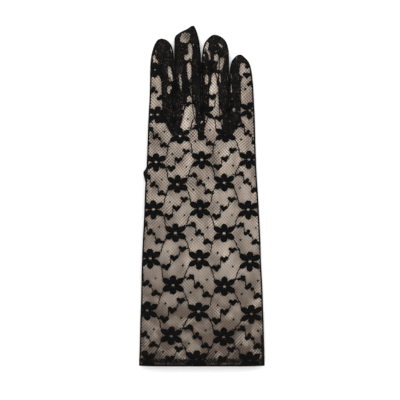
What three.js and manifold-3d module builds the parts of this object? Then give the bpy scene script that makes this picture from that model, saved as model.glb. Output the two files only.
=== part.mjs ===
// A short lace glove for the right hand, lined, lying on its palm with the thumb folded beneath it.
// Millimetres. +X is the little finger's side, +Y points to the fingertips and +Z is up. The glove
// lies on z = 0, and the origin is under the middle of its box.
//
// The glove is one hollow form. The same form is lofted at several depths under its surface, and each
// layer of cloth is what lies between two depths. The layers are then cut along the seams.

import * as THREE from 'three';
import { mergeVertices } from 'three/addons/utils/BufferGeometryUtils.js';
import Module from 'manifold-3d';

const wasm = await Module();
wasm.setup();

// Cloth
const LACE = 1.0;
const LINING = 1.0;
const GAP = 0.3;
const LINING_TOP = LACE + GAP;
const HOLLOW = LACE + GAP + LINING;

// The hand
const CUFF_Y = -131.3;
const HEM_TOP_Y = -125.4;
const CROTCH_Y = 58;
const FINGER_HALF = 4.6;
const FINGER_ROOT = { length: 7, inset: 1 };
const BEYOND_CUFF = 4;

// Columns: y, left and right edge, half of the height
const PALM_ROWS = [
  { y: -131.3, left: -48.3, right: 48.3, half: 5.6 },
  { y: -118, left: -47.8, right: 48.0, half: 5.8 },
  { y: -96, left: -47.3, right: 47.4, half: 5.9 },
  { y: -72, left: -46.4, right: 46.6, half: 5.8 },
  { y: -52, left: -45.8, right: 45.5, half: 5.5 },
  { y: -34, left: -45.0, right: 45.0, half: 5.3 },
  { y: -14, left: -43.9, right: 44.0, half: 5.1 },
  { y: 4, left: -43.4, right: 42.9, half: 5.0 },
  { y: 22, left: -42.1, right: 41.8, half: 4.9 },
  { y: 40, left: -41.4, right: 41.2, half: 4.7 },
  { y: 58, left: -41.0, right: 40.8, half: 4.6 },
];

// Columns: y, left and right edge, half of the height, and how far the row moves back from the tip
// for each millimetre of depth
const FINGER_ROWS = {
  index: [
    { y: 58, left: -40.9, right: -21.75, half: 4.6, pull: 0 },
    { y: 78, left: -40.1, right: -21.75, half: 4.6, pull: 0 },
    { y: 100, left: -39.7, right: -21.75, half: 4.6, pull: 0 },
    { y: 108, left: -38.9, right: -21.8, half: 4.6, pull: 0 },
    { y: 113.6, left: -37.5, right: -22.6, half: 4.4, pull: 0.3 },
    { y: 116.8, left: -36.5, right: -24.2, half: 3.8, pull: 0.8 },
    { y: 119.7, left: -34.9, right: -27.1, half: 2.6, pull: 1.6 },
    { y: 121, left: -32.9, right: -29.9, half: 1.3, pull: 1.8 },
  ],
  middle: [
    { y: 58, left: -21.15, right: -0.6, half: 4.6, pull: 0 },
    { y: 80, left: -21.15, right: -0.6, half: 4.6, pull: 0 },
    { y: 103, left: -21.15, right: -0.7, half: 4.6, pull: 0 },
    { y: 116.7, left: -21.0, right: -1.4, half: 4.5, pull: 0 },
    { y: 122.8, left: -20.4, right: -2.4, half: 3.9, pull: 0.5 },
    { y: 125.9, left: -17.1, right: -3.3, half: 3.2, pull: 1.1 },
    { y: 129, left: -10.8, right: -4.7, half: 2.2, pull: 1.7 },
    { y: 131.3, left: -8.1, right: -5.7, half: 1.1, pull: 1.9 },
  ],
  ring: [
    { y: 58, left: 0, right: 20.85, half: 4.6, pull: 0 },
    { y: 80, left: 0, right: 20.85, half: 4.6, pull: 0 },
    { y: 101, left: 0, right: 20.8, half: 4.6, pull: 0 },
    { y: 111, left: 0.15, right: 20.7, half: 4.6, pull: 0 },
    { y: 116.7, left: 1.1, right: 20.0, half: 4.3, pull: 0.3 },
    { y: 119.9, left: 3.2, right: 18.4, half: 3.6, pull: 0.8 },
    { y: 122.7, left: 6.9, right: 14.4, half: 2.4, pull: 1.6 },
    { y: 124, left: 8.3, right: 11.5, half: 1.3, pull: 1.8 },
  ],
  little: [
    { y: 58, left: 21.45, right: 40.7, half: 4.6, pull: 0 },
    { y: 70, left: 21.45, right: 40.2, half: 4.6, pull: 0 },
    { y: 84, left: 21.45, right: 39.5, half: 4.6, pull: 0 },
    { y: 95, left: 21.5, right: 38.9, half: 4.6, pull: 0 },
    { y: 101.3, left: 22.0, right: 37.6, half: 4.3, pull: 0.3 },
    { y: 104.5, left: 23.5, right: 35.6, half: 3.6, pull: 0.8 },
    { y: 107.3, left: 26.2, right: 32.4, half: 2.4, pull: 1.6 },
    { y: 108.6, left: 27.9, right: 30.9, half: 1.3, pull: 1.8 },
  ],
};

// The thumb is a flat stall under the palm. Its base is under the hole in the palm, and its widest
// row is the fold that shows beside the hand.
const THUMB_HALF = 4.6;
const THUMB_ROWS = [
  { y: -47.5, left: -31.6, right: -26.4, half: 1.3, pull: -1.8 },
  { y: -46.2, left: -35.2, right: -22.6, half: 2.6, pull: -1.6 },
  { y: -43, left: -38.6, right: -19.2, half: 3.9, pull: -0.8 },
  { y: -38, left: -40.2, right: -17.6, half: 4.6, pull: 0 },
  { y: -20, left: -41.0, right: -17.4, half: 4.6, pull: 0 },
  { y: 0, left: -41.6, right: -19.2, half: 4.6, pull: 0 },
  { y: 10.5, left: -42.4, right: -20.4, half: 4.6, pull: 0 },
  { y: 16.6, left: -44.5, right: -21.0, half: 4.6, pull: 0 },
  { y: 20.5, left: -42.6, right: -21.5, half: 4.6, pull: 0 },
  { y: 27, left: -41.2, right: -22.6, half: 4.4, pull: 0.3 },
  { y: 31.5, left: -39.6, right: -24.6, half: 3.8, pull: 0.8 },
  { y: 34.7, left: -37.0, right: -27.6, half: 2.6, pull: 1.6 },
  { y: 36, left: -34.0, right: -30.6, half: 1.3, pull: 1.8 },
];
const THUMB_HOLE = { x: -29, y: -27, halfWidth: 8.6, halfLength: 13.5, sides: 20 };

// The hand drapes over the folded thumb. Inside the plateau it is lifted clear of it, and around
// the plateau it comes down to the surface over the slope's length.
const DRAPE = {
  height: 2 * THUMB_HALF + GAP,
  right: -14,
  near: -50,
  far: 39,
  slopeRight: 30,
  slopeNear: 40,
  slopeFar: 36,
};

// The seams of each strip between two fingers, as its outline in plan: from the V point on the hand
// up the left finger to its tip, and from the right finger's tip down again. Columns: x, y
const FOURCHETTES = {
  fourchette_index_middle: [
    [-22.4, 46], [-25.7, 52], [-28.4, 58.4], [-30.3, 70.5], [-31, 90], [-30.2, 104], [-27.5, 112],
    [-22.4, 118], [-21.6, 121.5], [-17, 116], [-14.2, 106], [-13.5, 90], [-13.2, 70.5],
    [-15.3, 58.4], [-17.1, 52], [-18, 46],
  ],
  fourchette_middle_ring: [
    [-2.4, 42.4], [-2.8, 52], [-4.8, 58], [-6.6, 65], [-7.4, 75], [-7.8, 95], [-6.4, 112],
    [-1.6, 121], [0.2, 116], [4.6, 108], [5.2, 95], [5.2, 75], [4.8, 65], [3.9, 58],
    [1.8, 52], [1.5, 42.4],
  ],
  fourchette_ring_little: [
    [18.4, 46.4], [16, 50.5], [15.3, 54], [14.2, 60], [13.4, 70], [13, 90], [14.6, 108],
    [20.6, 117], [21.4, 102], [28.4, 94], [29.7, 84], [29.7, 70], [29.2, 60], [27.3, 54],
    [25.2, 50.5], [23, 46.4],
  ],
};

// How finely the form is divided
const PALM_FLATS = 9;
const FINGER_FLATS = 2;
const EDGE_ANGLES = [0, Math.PI / 4, Math.PI / 2];
const LEAST_SHARE = 0.35;

const SHEET_LEFT = -52.5;
const SHEET_STEP = 7.5;
const REACH = 200;

const laceMaterial = new THREE.MeshStandardMaterial({ color: 0x151516, roughness: 0.8, metalness: 0 });
const darkMaterial = new THREE.MeshStandardMaterial({ color: 0x101011, roughness: 0.85, metalness: 0 });
const liningMaterial = new THREE.MeshStandardMaterial({ color: 0xa89888, roughness: 0.55, metalness: 0 });

// Falls smoothly from 1 at 0 to 0 at 1
function easeDown(t) {
  const inside = Math.min(Math.max(t, 0), 1);
  return 0.5 + 0.5 * Math.cos(Math.PI * inside);
}

function interpolate(rows, y, column) {
  if (y <= rows[0].y) {
    return rows[0][column];
  }
  for (let i = 1; i < rows.length; i += 1) {
    if (y <= rows[i].y) {
      const share = (y - rows[i - 1].y) / (rows[i].y - rows[i - 1].y);
      return rows[i - 1][column] + share * (rows[i][column] - rows[i - 1][column]);
    }
  }
  return rows[rows.length - 1][column];
}

// Height of the hand's underside over the surface it lies on
function drape(x, y) {
  const across = easeDown((x - DRAPE.right) / DRAPE.slopeRight);
  const toCuff = easeDown((DRAPE.near - y) / DRAPE.slopeNear);
  const toTips = easeDown((y - DRAPE.far) / DRAPE.slopeFar);
  return DRAPE.height * across * toCuff * toTips;
}

function handCentre(x, y) {
  return interpolate(PALM_ROWS, y, 'half') + drape(x, y);
}

function thumbCentre() {
  return THUMB_HALF;
}

// One closed section of the form: round at both edges, flat above and below. Its points run from
// the left edge over the top to the right edge and back underneath.
function section(row, depth, flats, centre) {
  const middle = (row.left + row.right) / 2;
  const wide = (row.right - row.left) / 2;
  const halfWidth = Math.max(wide - depth, LEAST_SHARE * wide);
  const half = Math.min(Math.max(row.half - depth, LEAST_SHARE * row.half), halfWidth);
  const y = row.y - (row.pull ?? 0) * depth;
  const columns = [];
  for (const angle of EDGE_ANGLES) {
    columns.push([middle - halfWidth + half * (1 - Math.cos(angle)), half * Math.sin(angle)]);
  }
  const flatLeft = middle - halfWidth + half;
  const flatRight = middle + halfWidth - half;
  for (let i = 1; i < flats; i += 1) {
    columns.push([flatLeft + (i / flats) * (flatRight - flatLeft), half]);
  }
  for (const angle of [...EDGE_ANGLES].reverse()) {
    columns.push([middle + halfWidth - half * (1 - Math.cos(angle)), half * Math.sin(angle)]);
  }
  const top = columns.map(([x, z]) => [x, y, centre(x, y) + z]);
  const bottom = columns.slice(1, -1).reverse().map(([x, z]) => [x, y, centre(x, y) - z]);
  return [...top, ...bottom];
}

function toManifold(points, triangles) {
  return new wasm.Manifold(new wasm.Mesh({
    numProp: 3,
    vertProperties: new Float32Array(points),
    triVerts: new Uint32Array(triangles),
  }));
}

// A closed solid through a list of sections with the same number of points. Each section's upper
// points stand over its lower ones, and its first and middle points are its left and right ends.
function loft(rings) {
  const count = rings[0].length;
  const columns = count / 2;
  const triangles = [];
  for (let r = 0; r + 1 < rings.length; r += 1) {
    for (let i = 0; i < count; i += 1) {
      const a = r * count + i;
      const b = r * count + ((i + 1) % count);
      triangles.push([a, b, b + count], [a, b + count, a + count]);
    }
  }
  const cap = (first, flip) => {
    for (let i = 0; i < columns; i += 1) {
      const top = first + i;
      const bottom = first + ((count - i) % count);
      const nextTop = first + i + 1;
      const nextBottom = first + count - i - 1;
      const faces = [];
      if (nextTop !== nextBottom) {
        faces.push([top, nextBottom, nextTop]);
      }
      if (top !== bottom) {
        faces.push([top, bottom, nextBottom]);
      }
      triangles.push(...(flip ? faces.map(([p, q, s]) => [p, s, q]) : faces));
    }
  };
  cap(0, false);
  cap((rings.length - 1) * count, true);
  return toManifold(rings.flat(2), triangles.flat());
}

function loftRows(rows, depth, flats, centre) {
  return loft(rows.map((row) => section(row, depth, flats, centre)));
}

// The hand from cuff to knuckles. At a depth it runs out past the cuff, which leaves the cuff open,
// and stops that far short of the knuckles, which leaves the webs between the fingers.
function palmForm(depth) {
  const rows = PALM_ROWS.map((row) => ({ ...row }));
  rows[rows.length - 1].y = CROTCH_Y - depth;
  if (depth > 0) {
    rows[0].y = CUFF_Y - BEYOND_CUFF;
  }
  return loftRows(rows, depth, PALM_FLATS, handCentre);
}

// A finger starts a little inside the hand, where it is slightly smaller
function fingerForm(rows, depth) {
  const root = { ...rows[0] };
  root.y -= FINGER_ROOT.length;
  root.left += FINGER_ROOT.inset;
  root.right -= FINGER_ROOT.inset;
  root.half -= FINGER_ROOT.inset;
  return loftRows([root, ...rows], depth, FINGER_FLATS, handCentre);
}

function handForm(depth) {
  let form = palmForm(depth);
  for (const rows of Object.values(FINGER_ROWS)) {
    form = form.add(fingerForm(rows, depth));
  }
  return form;
}

function thumbForm(depth) {
  return loftRows(THUMB_ROWS, depth, FINGER_FLATS, thumbCentre);
}

function fromGeometry(geometry) {
  const bare = geometry.clone();
  bare.deleteAttribute('normal');
  bare.deleteAttribute('uv');
  const merged = mergeVertices(bare, 1e-4);
  return toManifold(merged.attributes.position.array, merged.index.array);
}

// An upright block over an outline in plan
function prism(outline, bottom, top) {
  const shape = new THREE.Shape(outline.map(([x, y]) => new THREE.Vector2(x, y)));
  const geometry = new THREE.ExtrudeGeometry(shape, { depth: top - bottom, bevelEnabled: false });
  geometry.translate(0, 0, bottom);
  return fromGeometry(geometry);
}

// Moves an outline's corners outwards, so that each of its sides moves by the margin
function grow(outline, margin) {
  const corners = outline.map(([x, y]) => new THREE.Vector2(x, y));
  const turn = Math.sign(THREE.ShapeUtils.area(corners));
  return corners.map((corner, i) => {
    const before = corners[(i + corners.length - 1) % corners.length];
    const after = corners[(i + 1) % corners.length];
    const sideIn = corner.clone().sub(before).normalize();
    const sideOut = after.clone().sub(corner).normalize();
    const normalIn = new THREE.Vector2(sideIn.y, -sideIn.x).multiplyScalar(turn);
    const normalOut = new THREE.Vector2(sideOut.y, -sideOut.x).multiplyScalar(turn);
    const outward = normalIn.clone().add(normalOut).normalize();
    const reach = Math.min(margin / outward.dot(normalIn), 2 * margin);
    return [corner.x + reach * outward.x, corner.y + reach * outward.y];
  });
}

function fourchetteRegion(outline, margin) {
  return prism(grow(outline, margin), -REACH, REACH);
}

function ellipseRegion(hole, bottom, top) {
  const outline = [];
  for (let i = 0; i < hole.sides; i += 1) {
    const angle = (2 * Math.PI * i) / hole.sides;
    outline.push([hole.x + hole.halfWidth * Math.cos(angle), hole.y + hole.halfLength * Math.sin(angle)]);
  }
  return prism(outline, bottom, top);
}

function boxRegion(nearY, farY) {
  const geometry = new THREE.BoxGeometry(2 * REACH, farY - nearY, 2 * REACH);
  geometry.translate(0, (nearY + farY) / 2, 0);
  return fromGeometry(geometry);
}

// A thin sheet at half height all over the hand and beyond it: the gap of the side seams
function seamSheet(thickness) {
  const ys = [CUFF_Y - BEYOND_CUFF - 6, ...PALM_ROWS.slice(1).map((row) => row.y), 68, 75, 100, 148];
  const xs = Array.from({ length: 15 }, (_, i) => SHEET_LEFT + i * SHEET_STEP);
  const rings = ys.map((y) => {
    const top = xs.map((x) => [x, y, handCentre(x, y) + thickness / 2]);
    const bottom = xs.map((x) => [x, y, handCentre(x, y) - thickness / 2]).reverse();
    const left = [SHEET_LEFT - 1, y, handCentre(SHEET_LEFT, y)];
    const right = [-SHEET_LEFT + 1, y, handCentre(-SHEET_LEFT, y)];
    return [left, ...top, right, ...bottom];
  });
  return loft(rings);
}

// The two largest pieces of a solid, the upper one first
function halves(solid) {
  const pieces = solid.decompose().sort((a, b) => b.volume() - a.volume()).slice(0, 2);
  const height = (piece) => piece.boundingBox().max[2];
  return pieces.sort((a, b) => height(b) - height(a));
}

function toMesh(name, solid, material) {
  const mesh = solid.getMesh();
  const geometry = new THREE.BufferGeometry();
  geometry.setAttribute('position', new THREE.BufferAttribute(new Float32Array(mesh.vertProperties), 3));
  geometry.setIndex(new THREE.BufferAttribute(new Uint32Array(mesh.triVerts), 1));
  geometry.computeVertexNormals();
  const node = new THREE.Mesh(geometry, material);
  node.name = name;
  return node;
}

const glove = new THREE.Group();

const outside = handForm(0);
const underLace = handForm(LACE);
const overLining = handForm(LINING_TOP);
const hollow = handForm(HOLLOW);
const hemRegion = boxRegion(CUFF_Y - 2 * BEYOND_CUFF, HEM_TOP_Y);
const aboveHem = boxRegion(HEM_TOP_Y + GAP, REACH);
const seamGap = seamSheet(GAP);
const holeInPalm = ellipseRegion(THUMB_HOLE, THUMB_HALF, DRAPE.height + FINGER_HALF);

// Lace of the hand, cut along the fourchettes' seams and the side seams
const laceShell = outside.subtract(underLace).intersect(aboveHem);
let panels = laceShell;
for (const [name, seams] of Object.entries(FOURCHETTES)) {
  const strip = laceShell.intersect(fourchetteRegion(seams, 0));
  glove.add(toMesh(name, strip, darkMaterial));
  panels = panels.subtract(fourchetteRegion(seams, GAP));
}
const [backPanel, wholePalm] = halves(panels.subtract(seamGap));
glove.add(toMesh('back_panel', backPanel, laceMaterial));
glove.add(toMesh('palm_panel', wholePalm.subtract(holeInPalm), laceMaterial));

// The hem is the lace folded inwards over the lining's edge
glove.add(toMesh('cuff_hem', outside.subtract(hollow).intersect(hemRegion), darkMaterial));

// Lining of the hand
const liningShell = overLining.subtract(hollow).intersect(aboveHem);
const [liningBack, liningPalm] = halves(liningShell.subtract(seamGap));
glove.add(toMesh('lining_back', liningBack, liningMaterial));
glove.add(toMesh('lining_palm', liningPalm.subtract(holeInPalm), liningMaterial));

// The thumb and its lining, open under the hole in the palm
const thumbShell = thumbForm(0).subtract(thumbForm(LACE));
const thumbLiningShell = thumbForm(LINING_TOP).subtract(thumbForm(HOLLOW));
glove.add(toMesh('thumb', thumbShell.subtract(holeInPalm), laceMaterial));
glove.add(toMesh('lining_thumb', thumbLiningShell.subtract(holeInPalm), liningMaterial));

export default glove;
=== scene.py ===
# A short lace glove for the right hand, with a nude lining. It lies on its palm with the thumb folded
# beneath it. +X is the little finger's side, +Y points to the fingertips and +Z is up.
# Tables and shapes are in millimetres, and points become metres when they are set on the glove. Every
# layer is laid out flat, in plan, and then set on the glove's form. A region of the plan is a field:
# how far each point of a fine grid lies inside the region's edge, and below zero outside it.

import itertools
import math

import bpy
import numpy as np
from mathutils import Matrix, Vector


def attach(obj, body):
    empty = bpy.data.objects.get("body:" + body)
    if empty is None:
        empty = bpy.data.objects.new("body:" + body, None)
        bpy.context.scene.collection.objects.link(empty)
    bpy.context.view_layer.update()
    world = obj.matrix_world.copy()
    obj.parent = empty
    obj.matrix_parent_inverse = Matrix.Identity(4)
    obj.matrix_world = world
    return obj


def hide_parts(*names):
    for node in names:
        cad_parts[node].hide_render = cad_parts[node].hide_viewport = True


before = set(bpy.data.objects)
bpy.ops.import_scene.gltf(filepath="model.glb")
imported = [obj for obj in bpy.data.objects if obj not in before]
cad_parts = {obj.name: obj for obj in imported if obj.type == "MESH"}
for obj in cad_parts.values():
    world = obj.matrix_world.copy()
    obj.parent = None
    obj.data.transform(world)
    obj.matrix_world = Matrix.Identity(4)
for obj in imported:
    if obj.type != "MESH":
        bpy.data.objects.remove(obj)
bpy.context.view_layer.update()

MM = 0.001
rng = np.random.default_rng(7)

# The hand. Columns: y, left and right edge, half of the height
HAND_ROWS = [
    (-131.3, -48.3, 48.3, 5.6), (-118, -47.8, 48.0, 5.8), (-96, -47.3, 47.4, 5.9),
    (-72, -46.4, 46.6, 5.8), (-52, -45.8, 45.5, 5.5), (-34, -45.0, 45.0, 5.3),
    (-14, -43.9, 44.0, 5.1), (4, -43.4, 42.9, 5.0), (22, -42.1, 41.8, 4.9),
    (40, -41.4, 41.2, 4.7), (58, -41.0, 40.8, 4.6),
]
CUFF_Y = -131.3
HEM_TOP_Y = -125.4
CROTCH_Y = 58

# The fingers from the hand to the tip. Columns: y, left and right edge
FINGER_ROWS = {
    "index": [
        (58, -40.9, -21.75), (78, -40.1, -21.75), (100, -39.6, -21.8), (108, -38.8, -22.0),
        (113.6, -37.4, -22.9), (116.8, -36.2, -24.2), (119.7, -34.4, -26.9), (121, -32.4, -29.9),
    ],
    "middle": [
        (58, -21.15, -0.6), (80, -21.15, -0.6), (103, -21.15, -0.8), (116.7, -21.0, -1.9),
        (122.6, -20.5, -3.0), (125.8, -16.9, -3.9), (128.8, -10.9, -5.0), (131.2, -7.6, -6.2),
    ],
    "ring": [
        (58, 0.0, 20.85), (80, 0.0, 20.85), (101, 0.1, 20.8), (111, 0.7, 20.5),
        (116.7, 2.0, 19.4), (119.9, 3.8, 17.8), (122.7, 6.5, 14.6), (124, 8.6, 11.2),
    ],
    "little": [
        (58, 21.45, 40.7), (70, 21.45, 40.2), (84, 21.45, 39.5), (95, 21.7, 38.4),
        (101.3, 22.6, 36.9), (104.5, 23.9, 35.1), (107.3, 26.3, 32.2), (108.6, 28.3, 30.5),
    ],
}
FINGER_FOOT_Y = 24

# The thumb's stall, flat beneath the hand. Columns: y, left and right edge
THUMB_ROWS = [
    (-47.5, -30.6, -27.4), (-46.2, -34.8, -23.0), (-43, -38.2, -19.6), (-38, -40.0, -17.8),
    (-20, -41.0, -17.4), (2, -41.9, -19.2), (9, -43.1, -20.0), (14.5, -44.4, -20.6),
    (17.8, -45.0, -21.0), (20.8, -43.0, -21.5), (27, -41.0, -22.6), (31.5, -39.4, -24.6),
    (34.7, -36.8, -27.8), (36, -33.8, -31.2),
]
THUMB_HALF = 4.6
THUMB_HOLE = {"x": -29, "y": -27, "half_width": 8.6, "half_length": 13.5}

# The hand drapes over the thumb: the height of the plateau, its edges and the slopes' lengths
DRAPE = {
    "height": 9.5, "right": -14, "near": -50, "far": 39,
    "slope_right": 30, "slope_near": 40, "slope_far": 36,
}

# Seams of the strip between two fingers. Columns: x, y, from the V point up to the fingertips
STRIP_SEAMS = {
    "index_middle": (
        [(-22.4, 46), (-25.7, 52), (-28.4, 58.4), (-30.3, 70.5), (-31, 90), (-30.2, 104),
         (-27.5, 112), (-22.4, 118), (-21.6, 121.5)],
        [(-18, 46), (-17.1, 52), (-15.3, 58.4), (-13.2, 70.5), (-13.5, 90), (-14.2, 106),
         (-17, 116), (-21.6, 121.5)],
    ),
    "middle_ring": (
        [(-2.4, 42.4), (-2.8, 52), (-4.8, 58), (-6.6, 65), (-7.4, 75), (-7.8, 95), (-6.4, 112),
         (-1.6, 121)],
        [(1.5, 42.4), (1.8, 52), (3.9, 58), (4.8, 65), (5.2, 75), (5.2, 95), (4.6, 108),
         (0.2, 116), (-1.6, 121)],
    ),
    "ring_little": (
        [(18.4, 46.4), (16, 50.5), (15.3, 54), (14.2, 60), (13.4, 70), (13, 90), (14.6, 108),
         (20.6, 117)],
        [(23, 46.4), (25.2, 50.5), (27.3, 54), (29.2, 60), (29.7, 70), (29.7, 84), (28.4, 94),
         (21.4, 102), (20.6, 117)],
    ),
}

# Windows in the doubled lace of the fingers, where the lining shows through a single layer.
# Columns: x, y, half of the width and of the length, degrees that the top leans left
WINDOWS = [
    (-37.0, 104.6, 1.3, 3.7, 8), (-35.8, 103.3, 1.7, 2.3, 30), (-35.9, 111.2, 0.45, 1.3, 10),
    (-36.3, 97.0, 0.85, 0.7, 0), (-35.8, 74.5, 5.2, 18.6, 0), (-23.1, 112.3, 0.7, 2.9, 14),
    (-24.1, 93.6, 1.7, 6.9, 9), (-24.4, 81.6, 2.2, 3.1, 0), (-13.0, 122.0, 3.9, 4.3, -15),
    (-8.8, 111.6, 1.7, 5.6, 5), (-7.9, 106.8, 0.8, 3.2, 5), (-11.5, 106.6, 2.0, 2.2, 0),
    (-6.3, 116.4, 0.5, 0.6, 0), (-2.9, 114.4, 0.35, 1.8, 5), (-9.4, 95.1, 1.8, 7.5, 6),
    (-16.7, 87.4, 1.1, 7.3, 8), (-8.1, 79.7, 0.5, 6.0, 0), (-9.5, 73.9, 2.0, 2.9, 0),
    (-10.0, 60.5, 5.6, 11.5, 0), (3.0, 114.9, 1.7, 4.1, -12), (5.1, 108.0, 1.2, 3.8, 8),
    (1.2, 108.3, 0.5, 2.1, 0), (3.2, 99.1, 0.8, 0.65, 0), (14.5, 116.0, 0.8, 2.4, 45),
    (16.7, 108.3, 0.4, 0.7, 15), (11.0, 111.3, 0.45, 1.1, -50), (11.0, 106.3, 1.6, 2.7, 0),
    (14.7, 101.6, 2.5, 5.2, -18), (9.8, 90.1, 2.4, 4.5, -10), (14.0, 90.5, 0.9, 4.1, 5),
    (3.3, 89.5, 1.6, 4.1, 0), (9.3, 72.0, 4.0, 14.5, 0), (9.3, 59.0, 7.0, 9.5, 0),
    (20.4, 90.5, 0.4, 4.0, 0), (22.1, 92.8, 0.5, 3.1, 0), (22.2, 84.3, 0.5, 2.2, 0),
    (20.6, 78.2, 0.4, 5.0, 0), (22.3, 81.2, 0.8, 1.8, 10), (23.1, 73.4, 0.6, 2.4, 5),
    (24.4, 66.2, 1.2, 1.8, 0), (35.5, 102.3, 0.6, 0.6, -20), (31.9, 97.2, 2.8, 5.2, -5),
    (36.5, 96.6, 1.7, 2.1, 0), (35.4, 73.5, 6.2, 19.0, 0), (38.3, 90.8, 0.5, 3.2, 0),
]

# The lace chart, a row for each row of flowers on the back, by turns with hearts and with trefoils.
# Columns: x and y of the first flower, step to the next one, number of flowers, how wide and how long
# they are drawn
ROW_KINDS = ("hearts", "trefoils")
FLOWER_ROWS = [
    (-36.4, 97.1, 39.6, 2.1, 2, 0.85, 0.80), (-16.8, 83.5, 35.8, 0.0, 2, 0.95, 0.95),
    (-34.1, 62.5, 35.7, 1.6, 3, 0.96, 0.90), (-16.9, 45.5, 35.2, 1.5, 2, 0.98, 0.88),
    (-35.2, 25.6, 35.8, 1.15, 3, 0.98, 0.96), (-18.6, 8.6, 35.9, 1.2, 2, 0.98, 0.97),
    (-37.2, -10.6, 36.5, -0.1, 3, 1.0, 1.0), (-20.2, -28.7, 37.3, -0.4, 2, 1.01, 1.0),
    (-39.7, -48.1, 38.4, -1.3, 3, 1.03, 1.05), (-22.1, -68.8, 39.4, -1.2, 2, 1.04, 1.04),
    (-42.2, -88.6, 40.2, -1.3, 3, 1.06, 1.0), (-23.6, -108.1, 40.3, -0.8, 2, 1.06, 1.0),
    (-44.2, -126.6, 40.6, -0.2, 3, 1.06, 1.0),
]
CHART_STEP = 36.2
MIDDLE_SHIFT = (-0.5, 0.7)
PALM_SHIFT = (8.5, -9.5)
THUMB_SHIFT = (3.0, 4.0)
FLOWER_TURN = 2.5
SPRAY_TURN = 9

# Petals of the flowers in each kind of row. Columns: x and y of the tip from the flower's middle,
# width, and how pointed the tip is
PETALS = {
    "hearts": [
        (0.0, 7.1, 5.2, 0.40), (7.9, 4.4, 4.4, 0.60), (7.4, -4.8, 4.3, 0.52),
        (-0.1, -7.85, 4.9, 0.48), (-7.8, -5.0, 4.1, 0.60), (-7.7, 4.5, 4.6, 0.40),
    ],
    "trefoils": [
        (0.1, 7.5, 5.0, 0.46), (7.9, 4.8, 4.4, 0.62), (7.9, -4.0, 4.8, 0.48),
        (0.0, -7.0, 5.4, 0.44), (-7.6, -4.0, 4.8, 0.48), (-7.6, 4.7, 4.4, 0.46),
    ],
}
PETAL_ROOT = 1.3
ROOT_POINT = 0.45
EYE = {"half_width": 2.25, "half_length": 1.6, "ring": 0.6 / 1.7, "flat": 0.8}
EYE_OPEN = {"half_width": 1.6, "half_length": 1.0, "squareness": 1.1}

# Round pads that a small motif is sewn of. Columns: x, y, radius
PADS = {
    "heart": [(-1.7, 0.75, 1.5), (1.7, 0.75, 1.45), (-0.75, 0.0, 1.4), (0.75, 0.0, 1.4),
              (0, -1.15, 1.35), (0, -1.9, 0.75)],
    "trefoil": [(-0.1, 1.6, 1.5), (-2.0, -0.4, 1.6), (2.0, -1.2, 1.35), (0, 0, 1.0)],
    "bud": [(0.3, 0.9, 1.5), (-1.6, -0.7, 1.5), (0.4, -0.5, 1.1), (1.9, -0.6, 1.1), (3.0, -0.7, 0.75)],
    "leaf": [(0, 1.1, 1.2), (1.5, 0.6, 1.1), (1.3, -0.9, 1.15), (-0.2, -0.1, 1.25),
             (-1.6, -0.7, 1.0), (-2.7, -1.3, 0.65)],
    "dot": [(0.1, 0.15, 0.85), (-0.15, -0.2, 0.8)],
}

# Padding of the motifs: their thickness, and how high and how wide the rounding of their edge is.
# The width is a share of the petal's width or the pad's radius
MOTIF_THICK = 0.24
MOTIF_LIFT = 0.05
PETAL_EDGE = (0.18, 0.16)
PAD_EDGE = (0.15, 0.25)
MOTIF_LIMITS = {"least_inside": 0.4, "middle": -0.6, "under_doubled": 1.6}

# Parts of the two sprays. Columns: shape, x and y from the spray's middle, size
SPRAYS = {
    "hearts": [
        ("heart", 5.3, 7.6, 0.94), ("heart", -0.6, 1.0, 1.0), ("heart", -6.2, -5.4, 1.08),
        ("dot", -5.3, 5.6, 0.88), ("dot", 5.6, -4.4, 0.88),
    ],
    "trefoils": [
        ("leaf", -5.6, 6.3, 1.0), ("trefoil", 0.0, 0.1, 1.0), ("bud", 5.5, -6.3, 1.0),
        ("dot", 5.9, 4.3, 0.82), ("dot", -5.8, -4.8, 0.88),
    ],
}
SPRAY_STEMS = {
    "hearts": [
        [(10.6, 7.7), (9.4, 7.9), (7.8, 7.5)],
        [(3.9, 6.4), (3.2, 4.4), (2.3, 2.2)],
        [(-3.0, 0.6), (-3.3, -1.8), (-3.4, -4.2)],
        [(-8.2, -5.2), (-9.8, -4.9), (-11.3, -4.6)],
    ],
    "trefoils": [
        [(-12.0, 5.9), (-10.2, 5.7), (-8.4, 6.4)],
        [(-4.0, 8.2), (-3.2, 5.6), (-3.1, 3.0), (-2.2, 0.2)],
        [(2.4, -1.0), (3.3, -3.4), (3.8, -6.6)],
        [(7.4, -7.6), (9.0, -7.9), (10.4, -7.4)],
    ],
}

# Stems from a flower's lower petals to the flowers of the next row, as x and y from their middles,
# and the two bends of each stem from its ends. The end's x depends on the side it comes from
STEM_START = (7.3, -4.3)
STEM_END_X = {1: 7.4, -1: 8.4}
STEM_END_Y = 4.5
STEM_BENDS = ((1.6, -3.0), (-0.4, 3.0))
STEM_REACH = 0.75

# Motifs of the finger backs, in place of the sprays there. Columns: shape, x, y, turn, size
FINGER_MOTIFS = [
    ("trefoil", -37.2, 81.1, 0, 1.0), ("bud", -31.9, 75.4, 0, 1.0), ("heart", 7.9, 76.1, 10, 1.0),
    ("trefoil", 36.4, 100.3, 20, 0.9), ("heart", 34.7, 92.7, 0, 1.0), ("trefoil", 38.0, 86.0, 0, 0.9),
    ("dot", 33.7, 82.1, 0, 1.0),
]
FINGER_SPRAYS_Y = 75

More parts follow.
